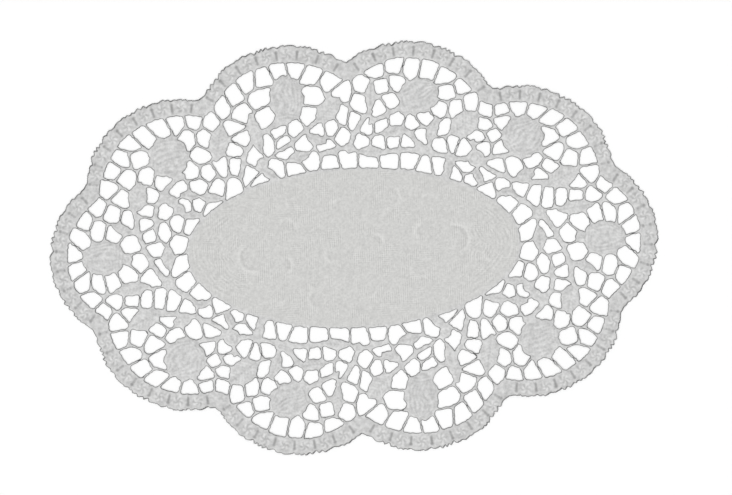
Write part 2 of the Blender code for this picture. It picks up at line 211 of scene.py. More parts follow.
def heading(degrees):
    return np.array([math.cos(math.radians(degrees)), math.sin(math.radians(degrees))])


def side_of(way):
    return np.stack([-way[..., 1], way[..., 0]], -1)


def place_of(piece):
    return np.array([piece.x, piece.y])


def own_axes(points, piece):
    """The points as seen from a rose or leaf: along it and across it."""
    along = heading(piece.angle)
    offset = points - place_of(piece)
    return offset @ along, offset @ side_of(along)


def grain(points):
    """A smooth, irregular field between about -1 and 1 that changes every few units."""
    total = np.zeros(points.shape[:-1])
    for angle, pitch, phase in GRAIN:
        total = total + np.cos(points @ heading(angle) * TURN / pitch + phase)
    return total / math.sqrt(len(GRAIN))


def rays(count):
    angles = np.arange(count) * TURN / count
    return np.stack([np.cos(angles), np.sin(angles)], -1)


def last_clear(low, high, is_clear):
    """The largest values between low and high that are clear, by halving the gap."""
    for _ in range(HALVINGS):
        middle = (low + high) / 2.0
        clear = is_clear(middle)
        low, high = np.where(clear, middle, low), np.where(clear, high, middle)
    return low


def wedges(outline):
    """Twice the area between each side and the origin."""
    x, y = outline.T
    return x * np.roll(y, -1) - y * np.roll(x, -1)


def outline_area(outline):
    return 0.5 * float(np.sum(wedges(outline)))


def outline_middle(outline):
    weight = wedges(outline)
    sums = [np.sum((side + np.roll(side, -1)) * weight) for side in outline.T]
    return np.array(sums) / (3.0 * np.sum(weight))


# The scalloped edge


def valley(one, other):
    """Where two neighbouring scallops meet, on the outer side."""
    a, b = place_of(one), place_of(other)
    gap = across(b - a)
    along = (b - a) / gap
    reach = (one.radius**2 - other.radius**2 + gap**2) / (2.0 * gap)
    rise = math.sqrt(one.radius**2 - reach**2)
    return a + along * reach - side_of(along) * rise


def scallop_arcs():
    """(centre, radius, first and last point) of all ten scallops, anticlockwise from the right."""
    meets = [valley(s, RING[(k + 1) % len(RING)]) for k, s in enumerate(RING)]
    return [(place_of(s), s.radius, meets[k - 1], meets[k]) for k, s in enumerate(RING)]


RING = list(SCALLOPS) + [s._replace(x=-s.x, y=-s.y) for s in SCALLOPS]
ARCS = scallop_arcs()


def drawn_in(scallop, share):
    """How far a scallop's edge lies inside its arc, at a share of the way from valley to valley."""
    ends = ((scallop.first_in, share), (scallop.last_in, 1.0 - share))
    return sum(most * math.sin(math.pi * min(s / DRAWN_IN_TO, 1.0) ** DRAWN_IN_SKEW) for most, s in ends)


def inside_edge(points):
    """Whether points lie on the doily: the edge is a single distance in every direction."""
    reach = across(points) + 1e-9
    way = points / reach[..., None]
    rim = np.zeros(points.shape[:-1])
    for centre, radius, _, _ in ARCS:
        along = way @ centre
        beside = way[..., 0] * centre[1] - way[..., 1] * centre[0]
        chord = np.sqrt(np.maximum(radius**2 - beside**2, 0.0))
        rim = np.maximum(rim, np.where(np.abs(beside) < radius, along + chord, 0.0))
    return reach < rim


def edge_depth(points):
    """How far inside the scalloped edge points lie, and -1 off the doily."""
    depth = np.full(points.shape[:-1], np.inf)
    for centre, radius, first, last in ARCS:
        offset = points - centre
        reach = across(offset)
        middle = (first + last) / 2 - centre
        middle = middle / across(middle)
        half = (first - centre) @ middle / radius
        faces_arc = offset @ middle >= reach * half
        depth = np.minimum(depth, np.where(faces_arc, np.abs(radius - reach), np.inf))
        depth = np.minimum(depth, across(points - first))
    return np.where(inside_edge(points), depth, -1.0)


def oval_gap(points):
    """Distance outside the plain oval, to first order."""
    level = (points[..., 0] / OVAL_LONG) ** 2 + (points[..., 1] / OVAL_WIDE) ** 2
    slope = 2.0 * np.hypot(points[..., 0] / OVAL_LONG**2, points[..., 1] / OVAL_WIDE**2) + 1e-9
    return 2.0 * (level - 1.0) / (slope * (1.0 + np.sqrt(np.maximum(level, 0.05))))


# Roses, leaves and stems

BETWEEN_PETALS = 0.94  # a rose's reach there, as a share of its oval's
PETAL_SWELL = 0.09  # and what a petal's middle adds


def rose_gap(points, rose):
    along, beside = own_axes(points, rose)
    angle = np.arctan2(beside, along)
    rim = 1.0 / np.hypot(np.cos(angle) / rose.half_long, np.sin(angle) / rose.half_wide)
    petals = BETWEEN_PETALS + PETAL_SWELL * np.abs(np.cos(rose.petals * angle / 2.0))
    return np.hypot(along, beside) - rim * petals


def leaf_gap(points, leaf):
    """A leaf is the overlap of two equal circles."""
    along, beside = (np.abs(side) for side in own_axes(points, leaf))
    tip = leaf.long / 2.0
    radius = (tip**2 + leaf.wide**2 / 4.0) / leaf.wide
    shift = radius - leaf.wide / 2.0
    past_tip = (along - tip) * shift > beside * tip
    return np.where(past_tip, np.hypot(along - tip, beside), np.hypot(along, beside + shift) - radius)


def stem_line(stem, parts=6):
    """Points along a stem, which bows to one side of its chord."""
    start, end = np.array([stem.from_x, stem.from_y]), np.array([stem.to_x, stem.to_y])
    chord = end - start
    side = side_of(chord) / across(chord)
    share = np.linspace(0.0, 1.0, parts + 1)[:, None]
    return start + chord * share + side * stem.bow * 4.0 * share * (1.0 - share)


def run_gap(points, run):
    start, end, wide = run
    chord = end - start
    share = np.clip((points - start) @ chord / (chord @ chord), 0.0, 1.0)
    return across(points - start - share[..., None] * chord) - wide / 2.0


def knot_gap(points, knot):
    return across(points - place_of(knot)) - knot.radius


def half_motifs():
    """(gap function, piece, middle, reach) of every motif in one half."""
    motifs = [(rose_gap, r, (r.x, r.y), max(r.half_long, r.half_wide) * 1.05) for r in ROSES]
    motifs += [(leaf_gap, f, (f.x, f.y), f.long / 2.0) for f in LEAVES]
    motifs += [(knot_gap, k, (k.x, k.y), k.radius) for k in KNOTS]
    for stem in STEMS:
        line = stem_line(stem)
        for start, end in zip(line, line[1:]):
            run = (start, end, stem.wide)
            motifs.append((run_gap, run, (start + end) / 2.0, across(end - start)))
    return motifs


MOTIFS = [(*motif, way) for motif in half_motifs() for way in (1.0, -1.0)]


def near_motifs(middle, reach):
    return [m for m in MOTIFS if across(np.array(m[2]) * m[4] - middle) < reach + m[3]]


def motif_gap(points, motifs):
    gap = np.full(points.shape[:-1], np.inf)
    for measure, piece, _, _, way in motifs:
        gap = np.minimum(gap, measure(points * way, piece))
    return gap


# The openings of the net


def across_slant(place):
    """The direction across the net's slant, which turns from place to place."""
    turn = sum(s.turn * np.cos(place @ np.array([s.per_x, s.per_y])) for s in SWINGS)
    return np.stack([np.cos(turn), np.sin(turn)], -1)


def net_distance(offset, place):
    """The length of an offset, which counts for more across the net's slant."""
    aside = (offset * across_slant(place)).sum(-1)
    return np.sqrt((offset**2).sum(-1) + SLANT * aside**2)


class Ground:
    """A grid of points over the doily that knows where openings may lie."""

    def __init__(self, step=1.0):
        self.corner, self.step = np.array([-LENGTH, -WIDTH]) / 2.0, step
        columns = np.arange(-LENGTH + step, LENGTH, 2.0 * step) / 2.0
        rows = np.arange(-WIDTH + step, WIDTH, 2.0 * step) / 2.0
        grid = np.stack(np.meshgrid(columns, rows, indexing="ij"), -1)
        self.free = edge_depth(grid) > BAND - BAR / 2.0
        self.free &= oval_gap(grid) > 0.0
        self.free &= motif_gap(grid, MOTIFS) > MOTIF_MARGIN
        self.points = grid[self.free]

    def is_free(self, points):
        cell = ((points - self.corner) / self.step).astype(int)
        cell = np.clip(cell, 0, np.array(self.free.shape) - 1)
        return self.free[cell[..., 0], cell[..., 1]]

    def sees(self, starts, ends):
        """Whether nothing solid lies between each start and its end."""
        clear = np.ones(len(starts), bool)
        for share in np.linspace(0.1, 0.9, 9):
            clear &= self.is_free(starts + (ends - starts) * share)
        return clear

    def nearest_free(self, point):
        if self.is_free(point):
            return point
        return self.points[np.argmin(across(self.points - point))]


def ring(level, count):
    """One half of 2 * count points, evenly spaced along the closed line where level is zero."""
    way = rays(1440)
    nowhere, everywhere = np.zeros(len(way)), np.full(len(way), LENGTH / 2.0)
    reach = last_clear(nowhere, everywhere, lambda r: level(way * r[:, None]) > 0.0)
    line = way * reach[:, None]
    line = np.vstack([line, line[:1]])
    run = np.concatenate([[0.0], np.cumsum(across(np.diff(line, axis=0)))])
    wanted = (np.arange(count) + 0.5) * run[-1] / (2 * count)
    return np.stack([np.interp(wanted, run, side) for side in line.T], -1)


def rose_rings(ground, middles):
    """Add the middles of the openings around the roses, where no other opening is too near."""
    for rose in ROSES:
        reach = np.array([rose.half_long, rose.half_wide]) + ROSE_ROW
        for way in rays(ROSE_HOLES):
            middle = place_of(rose) + way * reach
            both = np.vstack([middles, -middles])
            if ground.is_free(middle) and across(both - middle).min() > CLOSEST:
                middles = np.vstack([middles, middle])
    return middles


def scatter(ground, middles):
    """Add middles, each as far as it can be from the others, until the half is full."""

    def spread(away, middle):
        apart = net_distance(ground.points - middle, ground.points)
        close = np.flatnonzero(apart < SIGHT)
        hidden = ~ground.sees(np.repeat(middle[None], len(close), 0), ground.points[close])
        apart[close[hidden]] *= BEHIND
        return np.minimum(away, apart)

    away = np.full(len(ground.points), np.inf)
    for middle in np.vstack([middles, -middles]):
        away = spread(away, middle)
    while len(middles) < HOLES:
        middle = ground.points[np.argmax(away)]
        middles = np.vstack([middles, middle])
        away = spread(spread(away, middle), -middle)
    return middles


def settle(ground, middles):
    """Move each middle to the centre of the free ground that is nearest to it and in its sight."""
    both = np.vstack([middles, -middles])
    apart = net_distance(ground.points[:, None] - both, ground.points[:, None])
    order = np.argsort(apart, axis=1)[:, :CHOICES]
    owner = np.full(len(ground.points), -1)
    for choice in order.T:
        open_still = np.flatnonzero(owner < 0)
        seen = ground.sees(both[choice[open_still]], ground.points[open_still])
        owner[open_still[seen]] = choice[open_still[seen]]
    owned = owner >= 0
    count = np.bincount(owner[owned], minlength=len(both))
    sums = [np.bincount(owner[owned], ground.points[owned, k], len(both)) for k in (0, 1)]
    centres = np.where(count[:, None] > 0, np.stack(sums, -1) / np.maximum(count, 1)[:, None], both)
    moved = (centres[:HOLES] - centres[HOLES:]) / 2.0
    return np.array([ground.nearest_free(middle) for middle in moved])


def hole_middles():
    ground = Ground()
    border_row = ring(lambda points: edge_depth(points) - BORDER_ROW, BORDER_HOLES)
    oval_row = ring(lambda points: OVAL_ROW - oval_gap(points), OVAL_HOLES)
    middles = np.array([ground.nearest_free(middle) for middle in np.vstack([border_row, oval_row])])
    middles = scatter(ground, rose_rings(ground, middles))
    for _ in range(SETTLING_ROUNDS):
        middles = settle(ground, middles)
    return middles


def room(points, middle, neighbours, motifs):
    """Distance to the rim of the opening around middle, positive inside, with rounded corners."""
    jog = JOG * (0.5 + 0.5 * math.cos(middle @ np.array(JOG_SWING)))
    limits = [edge_depth(points) - BAND - jog, oval_gap(points) - jog]
    limits.append(motif_gap(points, motifs) - MOTIF_MARGIN)
    for neighbour in neighbours:
        halfway = (neighbour + middle) / 2.0
        slant = across_slant(halfway)
        way = neighbour - middle + SLANT * ((neighbour - middle) @ slant) * slant
        limits.append(-(points - halfway) @ way / across(way) - BAR / 2.0)
    limits = np.clip(np.stack(limits), -30.0, 30.0)
    return -ROUNDING * np.log(np.exp(-limits / ROUNDING).sum(0)) + RAGGED * grain(points)


def hole_outline(middle, others):
    """The outline of one opening, found along rays from its middle."""
    order = np.argsort(across(others - middle))
    neighbours = others[order[1 : NEIGHBOURS + 1]]
    motifs = near_motifs(middle, REACH)
    way = rays(RAYS)
    reach = np.arange(1, int(REACH / STRIDE)) * STRIDE

    def is_clear(points):
        return room(points, middle, neighbours, motifs) > 0.0

    start = middle
    for _ in range(2):
        along = start + way[:, None] * reach[None, :, None]
        first_blocked = reach[np.argmin(is_clear(along), axis=1)]
        last_open = first_blocked - STRIDE
        rim = last_clear(last_open, first_blocked, lambda r: is_clear(start + way * r[:, None]))
        outline = start + way * rim[:, None]
        start = outline_middle(outline)
        if room(start[None], middle, neighbours, motifs)[0] < ROUNDING:
            break
    return outline


def face_layer(loops, extra=()):
    """Triangles that fill the first loop and leave the other loops open, by point number."""
    flat = [Vector(point) for loop in loops for point in loop] + [Vector(point[:2]) for point in extra]
    starts = np.cumsum([0] + [len(loop) for loop in loops])
    rims = [list(range(start, start + len(loop))) for start, loop in zip(starts, loops)]
    filled = delaunay_2d_cdt(flat, [], rims, 1, 1e-7)
    faces, from_points, from_rims = filled[2], filled[3], filled[5]
    return [
        [from_points[corner][0] for corner in face]
        for face, rim_numbers in zip(faces, from_rims)
        if list(rim_numbers) == [0]
    ]


def fine_outline(outline):
    """The outline without corners too flat to see."""
    points = list(outline)
    while True:
        loop = np.array(points)
        before, after = np.roll(loop, 1, 0) - loop, np.roll(loop, -1, 0) - loop
        sizes = np.abs(before[:, 0] * after[:, 1] - before[:, 1] * after[:, 0]) / 2.0
        least = int(np.argmin(sizes))
        if sizes[least] > FLAT_CORNER:
            return loop
        points.pop(least)


def smooth(value, start, end):
    share = np.clip((value - start) / (end - start), 0.0, 1.0)
    return share * share * (3.0 - 2.0 * share)


def faded(value, start, end):
    return 1.0 - smooth(value, start, end)


# The serrated edge

Uneven = namedtuple("Uneven", "size stretch shift")  # an amount that varies from place to place
TEETH = 4.4  # pitch of the teeth, in millimetres, before it drifts
TEETH_DRIFTS = (Uneven(0.40, 4.7, 0.0), Uneven(0.16, 2.1, 1.0))
TOOTH_DEPTH = 1.6
DEPTH_DRIFT = Uneven(0.35, 6.3, 2.0)
TOOTH_TIP = 0.3  # a tooth is longest at this share of its pitch
TOOTH_CURVE = 1.4  # above 1, the edge stays near a tooth's tip for longer
NICKS = 1.3  # pitch of the finer nicks
NICK_DEPTH = 0.25
NICKS_DRIFT = Uneven(2.0, 3.3, 0.0)
TEETH_SHIFT = 100.0  # each scallop starts this much farther along their pattern
SEGMENTS = 8  # embossed fields of the border in one scallop, parted by marks
MARK_SPREAD = 1.06  # they fill this much more than the scallop's equal parts
LOBE = 1.0  # the edge swells by this much on each field
LOBE_CURVE = 0.7  # below 1, it swells steeply next to the marks
TEETH_FULL = 14.0  # teeth are full one part in so many of a scallop away from a valley
EDGE_SHIFT = 0.51  # keeps the toothed edge on the scallop's arc on average


def sweep_of(arc):
    """The angle at which a scallop starts and the angle it spans."""
    centre, _, first, last = arc
    start = math.atan2(*(first - centre)[::-1])
    return start, (math.atan2(*(last - centre)[::-1]) - start) % TURN


def arc_way(arc, share):
    """The direction from a scallop's centre to a place along its arc."""
    start, sweep = sweep_of(arc)
    return heading(math.degrees(start + sweep * share))


def drift_of(drift, run):
    return drift.size * math.sin(run / drift.stretch + drift.shift)


def tooth_depth(run):
    """How deep the teeth cut at a place along the edge: uneven in pitch and in depth."""
    share = run / TEETH
    for drift in TEETH_DRIFTS:
        share += drift_of(drift, run)
    share %= 1.0
    deep = TOOTH_DEPTH * (1.0 - DEPTH_DRIFT.size + drift_of(DEPTH_DRIFT, run))
    off_tip = (share - TOOTH_TIP) / (1.0 - TOOTH_TIP) if share > TOOTH_TIP else 1.0 - share / TOOTH_TIP
    nick = abs(math.sin(math.pi * run / NICKS + drift_of(NICKS_DRIFT, run)))
    return deep * off_tip**TOOTH_CURVE + NICK_DEPTH * nick


def serrated_outline():
    """The scalloped edge with its teeth, and a lobe on each field of the border."""
    points = []
    for number, (scallop, arc) in enumerate(zip(RING, ARCS)):
        run_start = TEETH_SHIFT * (number % len(SCALLOPS))
        length = arc[1] * sweep_of(arc)[1]
        for step in range(EDGE_POINTS):
            share = step / EDGE_POINTS
            field = math.pi * SEGMENTS * (share - 0.5) / MARK_SPREAD
            lobe = LOBE * (1.0 - abs(math.cos(field)) ** LOBE_CURVE)
            depth = tooth_depth(run_start + length * share) + lobe
            fade = min(1.0, TEETH_FULL * min(share, 1.0 - share))
            reach = arc[1] - drawn_in(scallop, share) + (EDGE_SHIFT - depth) * fade
            points.append(arc[0] + arc_way(arc, share) * reach)
    return np.array(points)


# The border's pressed marks, each a groove between two dimples, and the flowers between them

MARK_AT = 0.60  # a mark's middle, as a share of the band's width below the edge
DIMPLES_APART = 4.2
OUTER_DIMPLE = 1.5  # radius of the dimple at a mark's outer end
OUTER_FLOOR = 0.35  # radius of its floor
INNER_DIMPLE = 1.25
INNER_FLOOR = 0.2
GROOVE = 1.15  # half the groove's width
GROOVE_FLOOR = 0.25
GROOVE_ENDS = (0.4 * DIMPLES_APART, 0.7 * DIMPLES_APART)  # it is full and gone this far along
MARK_DEPTH = 0.28
OUTER_PRESS = 0.50  # how deep each is pressed, as a share of MARK_DEPTH
INNER_PRESS = 0.40
GROOVE_PRESS = 0.90
GROOVE_AT_ENDS = 0.12  # grooves have this share of that at the doily's two ends
GROOVE_ADDED = 0.43  # and this much more along its sides
FLOWER_AT = 0.55  # a flower's middle, as MARK_AT
FLOWER = 3.9  # its radius
PETALS = 5
PETAL_TWIST = 1.3  # radians that its petals turn in a millimetre
FLOWER_TURN = 2.4  # radians from each flower to the next


def border_places():
    """(place, direction outward) of the marks and of the flowers, along the middle of the band."""
    marks, flowers = [], []
    for arc in ARCS:
        for step in range(1, 2 * SEGMENTS):
            way = arc_way(arc, 0.5 + (step / (2.0 * SEGMENTS) - 0.5) * MARK_SPREAD)
            at, places = (MARK_AT, marks) if step % 2 else (FLOWER_AT, flowers)
            places.append((arc[0] + way * (arc[1] - BAND * at), way))
    return marks, flowers


MARKS, FLOWERS = border_places()


def mark_press(points):
    """How deep, from 0 to 1, points lie in a pressed mark of the border."""
    press = np.zeros(len(points))
    for place, way in MARKS:
        near = np.flatnonzero(across(points - place) < DIMPLES_APART)
        along, aside = ((points[near] - place) @ side for side in (way, side_of(way)))
        outer = faded(np.hypot(along - DIMPLES_APART / 2.0, aside), OUTER_FLOOR, OUTER_DIMPLE)
        inner = faded(np.hypot(along + DIMPLES_APART / 2.0, aside), INNER_FLOOR, INNER_DIMPLE)
        groove = faded(np.abs(aside), GROOVE_FLOOR, GROOVE) * faded(np.abs(along), *GROOVE_ENDS)
        groove = groove * (GROOVE_AT_ENDS + GROOVE_ADDED * abs(way[1]))
        deepest = np.maximum(INNER_PRESS * inner, GROOVE_PRESS * groove)
        press[near] = np.maximum(press[near], np.maximum(OUTER_PRESS * outer, deepest))
    return press


# Relief of the upper face. Each function gives how high points lie, in millimetres above the flat
# sheet, and the painted shade and highlight there: the fine folds, from -1 to 1, times the form's
# contrast, less how much darker the form is, so troughs are painted darker and ridges lighter.

SLICES_BEND = Uneven(0.12, 5.0, 0.0)
SLICES_FADE = Uneven(0.35, 3.1, 7.0)
FOOT_BEND = Uneven(0.06, 4.0, 0.0)
FIELD_GRAIN = Uneven(0.12, 1.0, 3.0)
LINES_BEND = Uneven(1.0, 6.0, 0.0)
LINES_FADE = Uneven(1.0, 4.0, 2.0)
OVAL_GRAIN = Uneven(0.15, 1.6, 0.0)
LACE_GRAIN = Uneven(0.10, 1.7, 5.0)

FOLDS = 4  # folds in half a rose's width
FOLD_RISE = 0.12
PITCH = 2.2  # spacing of the finest folds, in millimetres
FOOT = (-0.95, -0.45)  # where a rose's foot goes over into its petals, from -1 to 1 along it
ROSE_CONTRAST = 0.42
ROSE_DARKER = 0.16
MIDRIB = (0.2, 0.85)  # half the width of a midrib's floor, and of the midrib
MIDRIB_DEPTH = 0.4
MIDRIB_DARKER = 0.4
VEIN_SLANT = 0.7
VEIN_RISE = 0.04
VEIN_CONTRAST = 0.20
RING_RISE = 0.05  # rings around a knot
RING_CONTRAST = 0.4
FIELD_RISE = 0.07
FIELD_CONTRAST = 1.2
FIELD_DARKER = 0.20
FLOWER_SHARE = 0.60
HEART_DARKER = 0.8
LACE_LIGHTER = 0.10


def wander_of(wander, points):
    return wander.size * grain(points / wander.stretch + wander.shift)


def rose_relief(points, rose):
    """A raised rose seen from its side: its petals fold along it like the slices of a globe."""
    along, aside = own_axes(points, rose._replace(angle=rose.folds))
    half = math.hypot(rose.half_long, rose.half_wide) / math.sqrt(2.0)
    level = np.clip(along / half, -1.0, 1.0)
    slice_wide = half * np.sqrt(np.maximum(1.0 - level**2, 0.1))
    slices = np.cos(TURN * FOLDS * (aside / slice_wide + wander_of(SLICES_BEND, points)))
    slices = slices * (1.0 - SLICES_FADE.size + wander_of(SLICES_FADE, points))
    foot = np.cos(TURN * (level + wander_of(FOOT_BEND, points)) * half / PITCH)
    at_foot = faded(level, *FOOT)
    rise = smooth(-rose_gap(points, rose), -0.3, 1.3)
    folds = rise * np.clip(slices * (1.0 - at_foot) + foot * at_foot, -1.0, 1.0)
    return rise * ROSE_RISE + FOLD_RISE * folds, ROSE_CONTRAST * folds - ROSE_DARKER


def leaf_relief(points, leaf):
    """A domed leaf with a pressed midrib and side veins."""
    along, aside = own_axes(points, leaf)
    inside = -leaf_gap(points, leaf)
    midrib = faded(np.abs(aside), *MIDRIB)
    veins = np.cos(TURN * (along - VEIN_SLANT * np.abs(aside)) / PITCH) * smooth(inside, 0.2, 1.0)
    rise = LEAF_RISE * smooth(inside, -0.3, 1.2)
    folds = VEIN_CONTRAST * veins - MIDRIB_DARKER * midrib * (inside > 0.0)
    return rise * (1.0 - MIDRIB_DEPTH * midrib) + VEIN_RISE * veins, folds


def run_relief(points, run):
    return STEM_RISE * smooth(-run_gap(points, run), -0.4, run[2] / 2.0), np.zeros(len(points))


def knot_relief(points, knot):
    """A raised knot with rings."""
    gap = knot_gap(points, knot)
    rings = np.cos(TURN * (gap + knot.radius) / PITCH)
    return STEM_RISE * smooth(-gap, -0.3, 1.0) + RING_RISE * rings, RING_CONTRAST * rings


RELIEFS = {rose_gap: rose_relief, leaf_gap: leaf_relief, run_gap: run_relief, knot_gap: knot_relief}


def motif_relief(points):
    """The relief of roses, leaves, stems and knots: the higher one where two overlap."""
    height, folds = np.zeros(len(points)), np.zeros(len(points))
    for measure, piece, middle, reach, way in MOTIFS:
        turned = points * way
        near = np.flatnonzero(across(turned - np.array(middle)) < reach + 1.0)
        near = near[measure(turned[near], piece) < 0.4]
        rise, fold = RELIEFS[measure](turned[near], piece)
        higher = rise > height[near]
        height[near[higher]], folds[near[higher]] = rise[higher], fold[higher]
    return height, folds


def flower_folds(points):
    """The curled petals of the border's flowers, around a pressed heart."""
    folds = np.zeros(len(points))
    for number, (place, way) in enumerate(FLOWERS):
        near = np.flatnonzero(across(points - place) < FLOWER)
        offset = points[near] - place
        reach = across(offset)
        angle = np.arctan2(offset @ side_of(way), offset @ way)
        curl = np.cos(PETALS * angle + PETAL_TWIST * reach + FLOWER_TURN * number) * smooth(reach, 0.4, 1.4)
        petals = curl * faded(reach, 0.6 * FLOWER, FLOWER)
        folds[near] = petals - HEART_DARKER * faded(reach, 0.4, 1.2)
    return folds


def band_relief(points, depth):
    """The border: a bead inside the serrated edge, and fields of flowers between the marks."""
    in_band = faded(depth, BAND - 0.8, BAND + 0.2)
    bead = smooth(depth, 0.9, 1.5) * faded(depth, 1.9, 2.5)
    field = smooth(depth, 1.6, 2.6) * faded(depth, BAND - 1.2, BAND - 0.2)
    folds = FLOWER_SHARE * flower_folds(points) + wander_of(FIELD_GRAIN, points)
    folds = field * np.clip(folds, -1.0, 1.0)
    rise = BAND_RISE * bead + FIELD_RISE * field * (1.0 + folds)
    return in_band * rise, in_band * (FIELD_CONTRAST * folds - FIELD_DARKER)


# Faint figures in the plain oval: curls, and lines that follow its ends

Curl = namedtuple("Curl", "x y radius facing strength")
CURLS = (
    Curl(61.0, 3.0, 9.0, 20, 0.9),
    Curl(40.0, -13.0, 6.0, 250, 0.5),
    Curl(24.0, 17.0, 6.5, 120, 0.3),
    Curl(7.0, -24.0, 6.0, 300, 0.4),
    Curl(84.0, -6.0, 5.5, 190, 0.5),
    Curl(46.0, 26.0, 5.0, 80, 0.4),
    Curl(13.0, 3.0, 5.0, 30, 0.6),
    Curl(42.0, 8.5, 4.7, 180, 0.8),
    Curl(23.0, 30.0, 6.0, 0, 0.5),
)
CURL_SHARE = 1.5
CURL_LINE = (0.3, 1.2)  # a curl's line is full and gone this far off, in millimetres
TROUGH_INSIDE = 2.0  # its trough is this much nearer to the curl's centre
TROUGH_DEPTH = 0.7
LINES_APART = 2.9  # spacing of the lines at the oval's ends
LINES_FROM = (58.0, 76.0)  # how far along the oval they begin and are full
FIGURE_RISE = 0.07
FIGURE_CONTRAST = 0.38


def curl_folds(points):
    """The curls: parts of circles, each a ridge with a trough inside it."""
    folds = np.zeros(len(points))
    for curl in CURLS:
        for way in (1.0, -1.0):
            offset = points * way - place_of(curl)
            reach = across(offset)
            facing = offset @ heading(curl.facing) / (reach + 0.1)
            ridge = faded(np.abs(reach - curl.radius), *CURL_LINE)
            trough = faded(np.abs(reach - curl.radius + TROUGH_INSIDE), *CURL_LINE)
            folds += curl.strength * (ridge - TROUGH_DEPTH * trough) * smooth(facing, -0.2, 0.8)
    return folds


def end_folds(points):
    """Uneven lines that follow the oval's ends."""
    ends = smooth(np.abs(points[:, 0]), *LINES_FROM) * smooth(-oval_gap(points), 2.0, 5.0)
    lines = np.cos(TURN * oval_gap(points) / LINES_APART + wander_of(LINES_BEND, points))
    return ends * lines * wander_of(LINES_FADE, points)


def oval_relief(points):
    """The oval's curls, end lines and grain."""
    folds = CURL_SHARE * curl_folds(points) + end_folds(points) + wander_of(OVAL_GRAIN, points)
    folds = np.clip(folds, -1.0, 1.0) * smooth(-oval_gap(points), 0.5, 3.0)
    return FIGURE_RISE * (folds + 1.0), FIGURE_CONTRAST * folds


def wave(points):
    """The sheet doesn't lie quite flat: long, low waves, of 27 millimetres or more for each radian."""
    x, y = points[:, 0], points[:, 1]
    swell = np.sin(x / 31.0 + 0.7) * np.cos(y / 27.0 - 0.4) + 0.6 * np.sin((x + 2.0 * y) / 47.0 + 2.0)
    return WAVE * (0.5 + 0.3 * swell)


def upper_face(points, distance, press):
    """Heights of the upper face and its folds, where distance is how far the nearest cut edge is."""
    reliefs = motif_relief(points), band_relief(points, edge_depth(points)), oval_relief(points)
    rise, folds = (sum(each) for each in zip(*reliefs))
    edge = faded(distance, 0.0, EDGE_WIDE)
    rise = rise * (1.0 - FLATTER_AT_EDGE * edge)
    height = LIE + wave(points) + rise - MARK_DEPTH * press - EDGE_DROP * edge
    lift = smooth(oval_gap(points), 0.0, 2.0) * (LACE_LIGHTER + wander_of(LACE_GRAIN, points))
    return np.maximum(height, LOWEST), (folds + lift) * (1.0 - edge)


def lower_face(points, height, rim_count):
    """Heights of the lower face under points of the upper one, the rims' points first."""
    flat = LIE + wave(points)
    below = np.maximum(flat + RELIEF_BELOW * (height - flat) - PAPER, 0.0)
    below[:rim_count] = np.maximum(height[:rim_count] - PAPER, 0.0)
    return below


def placed(name, data):
    new = bpy.data.objects.new(name, data)
    bpy.context.scene.collection.objects.link(new)
    return new


# The sheet's mesh

COARSE = 1.6  # point spacing in the plain oval
MIDDLE = 0.95  # in the bars, and in the lines of the oval's ends
FINE = 0.69  # in the border, roses, leaves and curls
FINEST = 0.50  # in the border's marks
UNDER = 24  # the underside has one in so many of the inner points
NEAR_EDGE = 3.5  # so near to the scallops' arcs, distances are to each tooth
OPENING_NEAR = 2.0  # distances to an opening are taken so far around it
FARTHEST = 9.0  # and stand at this beyond
LINE_SHOWS = 0.2  # folds from which a line, or a curl, gets its finer spacing
CURL_SHOWS = 0.1
RIM_ROOM = 0.6 * EDGE_WIDE  # points set in from one rim keep this far from any
INNER_ROOM = EDGE_WIDE + 0.25  # and other inner points this far
SHADES = ("cut_distance", "pressed", "folds", "plain")
SHADES_BELOW = (1.0, 0.0, 0.0, 0.0)
CREASE = 50.0  # degrees from which the mesh's edges are sharp


def inset(loop, depth):
    """The loop moved to its right by depth, which is into the paper for an opening."""
    before, after = loop - np.roll(loop, 1, 0), np.roll(loop, -1, 0) - loop
    way = before / across(before)[:, None] + after / across(after)[:, None]
    way = way / across(way)[:, None]
    return loop - side_of(way) * depth


def lattice(step):
    rows = np.arange(-WIDTH / 2.0, WIDTH / 2.0, step * math.sqrt(3.0) / 2.0)
    columns = np.arange(-LENGTH / 2.0, LENGTH / 2.0, step)
    x, y = np.meshgrid(columns, rows)
    x = x + (np.arange(len(rows)) % 2)[:, None] * step / 2.0
    return np.stack([x.ravel(), y.ravel()], -1)


def spacing(points):
    """The point spacing wanted at each place."""
    wanted = np.where(oval_gap(points) < -0.5, COARSE, MIDDLE)
    wanted = np.where(np.abs(end_folds(points)) > LINE_SHOWS, MIDDLE, wanted)
    wanted = np.where(np.abs(curl_folds(points)) > CURL_SHOWS, FINE, wanted)
    wanted = np.where(edge_depth(points) < BAND - 0.5, FINE, wanted)
    for way in (1.0, -1.0):
        for rose in ROSES:
            wanted[rose_gap(points * way, rose) < 0.0] = FINE
        for leaf in LEAVES:
            wanted[leaf_gap(points * way, leaf) < 0.0] = FINE
    mark = np.array([DIMPLES_APART / 2.0 + OUTER_DIMPLE, OUTER_DIMPLE])
    for place, way in MARKS:
        offset = np.abs((points - place) @ np.stack([way, side_of(way)], -1))
        wanted[np.all(offset < mark, axis=1)] = FINEST
    return wanted


def edge_distance(points, outline):
    """Distance inside the toothed edge, negative outside it, and how squarely that faces DARK_SIDE."""
    tree = KDTree(len(outline))
    for number, point in enumerate(outline):
        tree.insert((*point, 0.0), number)
    tree.balance()
    distance, facing = edge_depth(points), np.zeros(len(points))
    inward = np.roll(outline, -1, 0) - np.roll(outline, 1, 0)
    inward = side_of(inward) / across(inward)[:, None]
    for number in np.flatnonzero(distance < NEAR_EDGE):
        _, nearest, gap = tree.find((*points[number], 0.0))
        inside = (points[number] - outline[nearest]) @ inward[nearest] > 0.0
        distance[number] = gap if inside else -gap
        facing[number] = (inward[nearest] @ heading(DARK_SIDE)) ** 2
    return distance, facing


